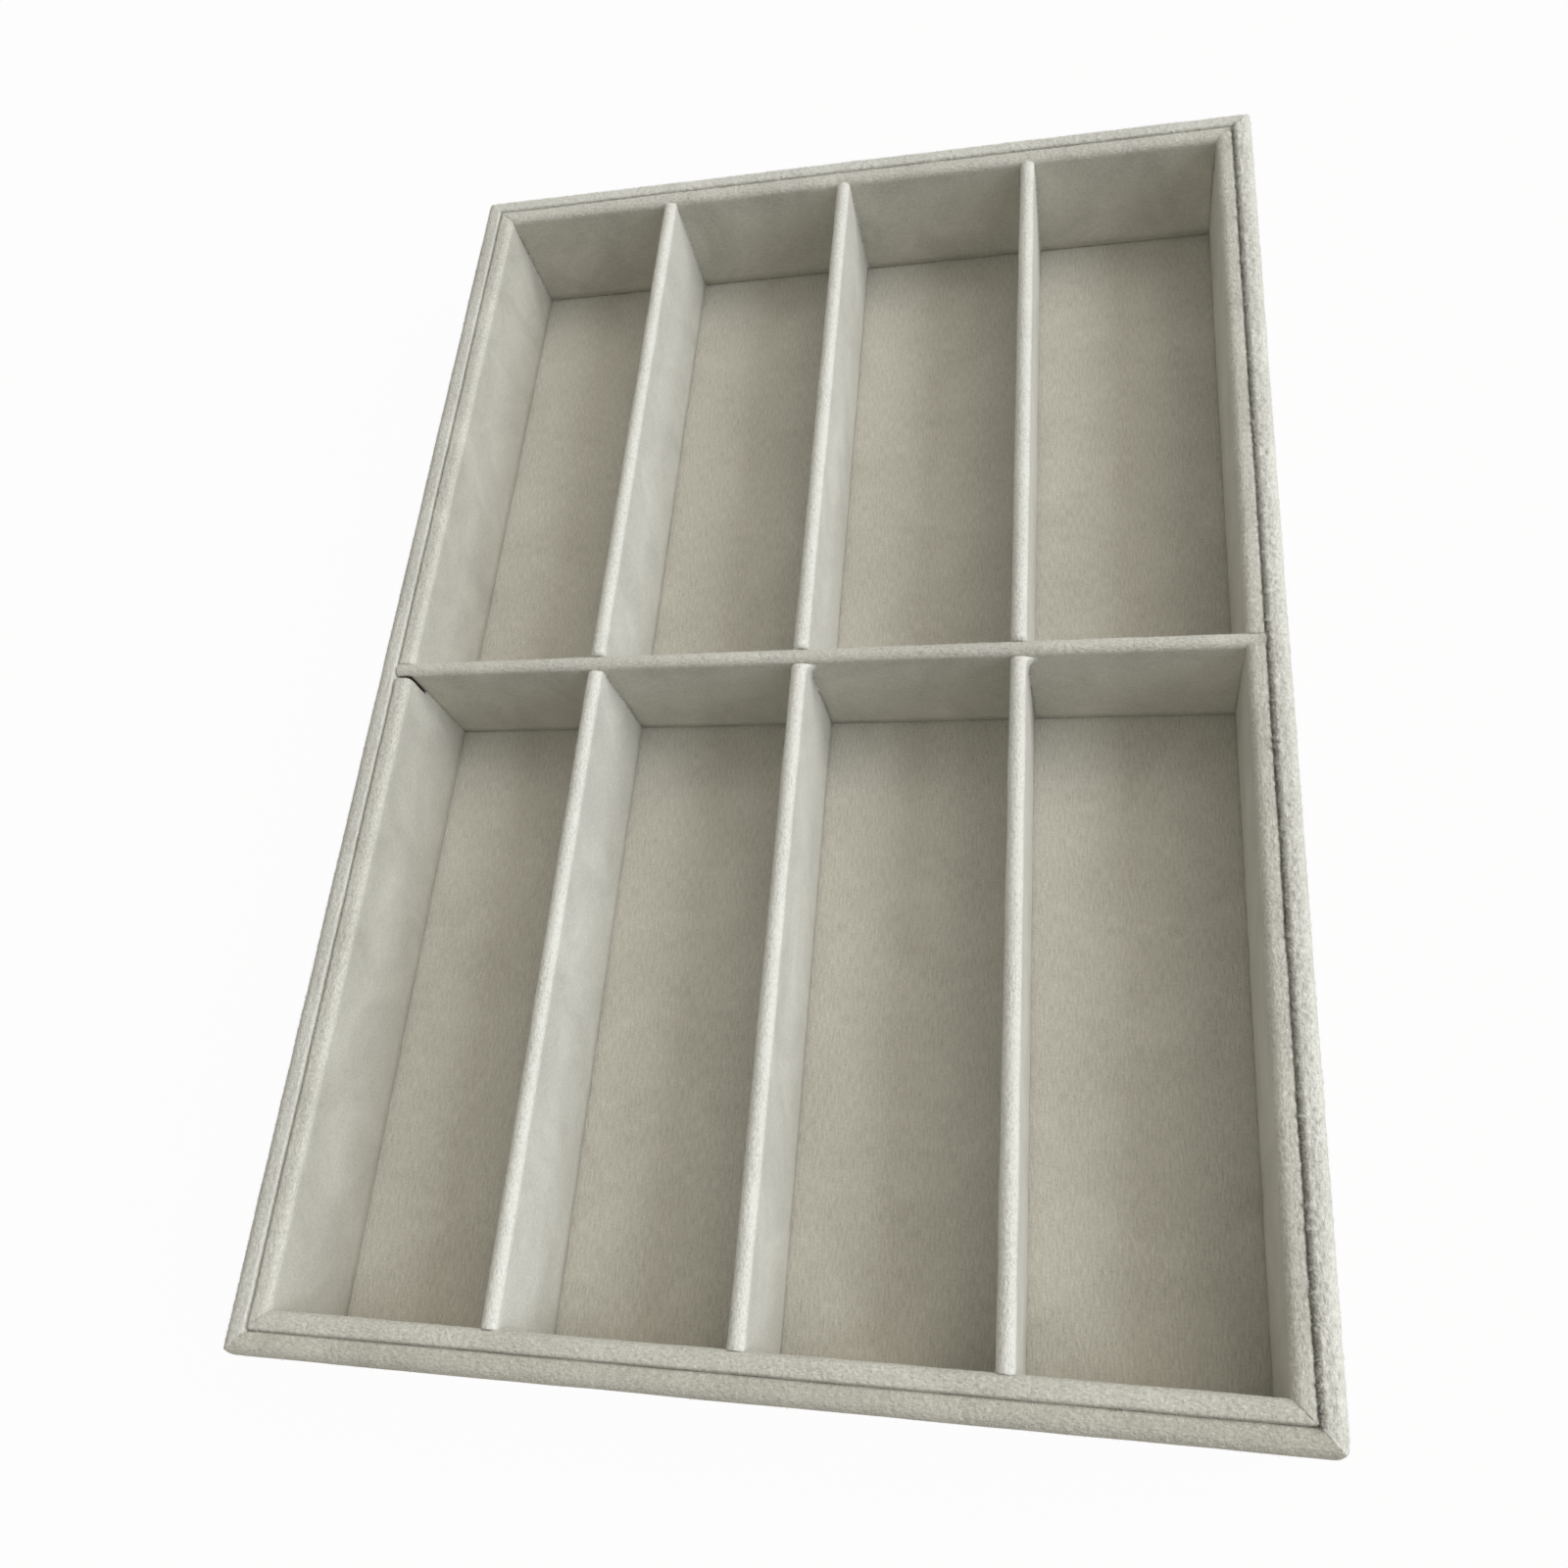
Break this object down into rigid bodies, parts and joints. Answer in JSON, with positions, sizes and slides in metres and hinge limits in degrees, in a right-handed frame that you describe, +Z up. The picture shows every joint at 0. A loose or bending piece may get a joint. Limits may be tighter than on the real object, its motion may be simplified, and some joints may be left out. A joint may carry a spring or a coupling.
{
  "type": "eyeglass storage tray",
  "caption": "Open velvet-covered tray with a velvet liner and a lift-out grid of half-lapped dividers, making long compartments that each hold a folded pair of glasses.",
  "frame": {"origin": "middle of the underside, on the surface that the tray stands on", "axes": "+X across the columns, +Y along the compartments from the front edge to the back edge, +Z up"},
  "size_m": [0.2386, 0.3516, 0.0422],
  "materials": {
    "velvet": "matte",
    "fibreboard": "matte",
    "greyboard": "matte",
    "card": "matte"
  },
  "bodies": {
    "tray": {"underside_card": "card", "base_board": "fibreboard", "floor_board": "greyboard", "floor_velvet": "velvet", "front_wall_board": "fibreboard", "front_wall_velvet": "velvet", "front_liner_board": "greyboard", "front_liner_velvet": "velvet", "right_wall_board": "fibreboard", "right_wall_velvet": "velvet", "right_liner_board": "greyboard", "right_liner_velvet": "velvet", "back_wall_board": "fibreboard", "back_wall_velvet": "velvet", "back_liner_board": "greyboard", "back_liner_velvet": "velvet", "left_wall_board": "fibreboard", "left_wall_velvet": "velvet", "left_liner_board": "greyboard", "left_liner_velvet": "velvet"},
    "long_dividers": {"left_divider_board": "greyboard", "left_divider_velvet": "velvet", "middle_divider_board": "greyboard", "middle_divider_velvet": "velvet", "right_divider_board": "greyboard", "right_divider_velvet": "velvet"},
    "cross_divider": {"cross_divider_board": "greyboard", "cross_divider_velvet": "velvet"}
  },
  "joints": [
    {"name": "divider_grid_lift", "type": "slide", "parent": "tray", "child": "long_dividers", "axis": [0, 0, 1], "range_m": [0, 0.045]},
    {"name": "cross_divider_lift", "type": "slide", "parent": "long_dividers", "child": "cross_divider", "axis": [0, 0, 1], "range_m": [0, 0.045]}
  ]
}
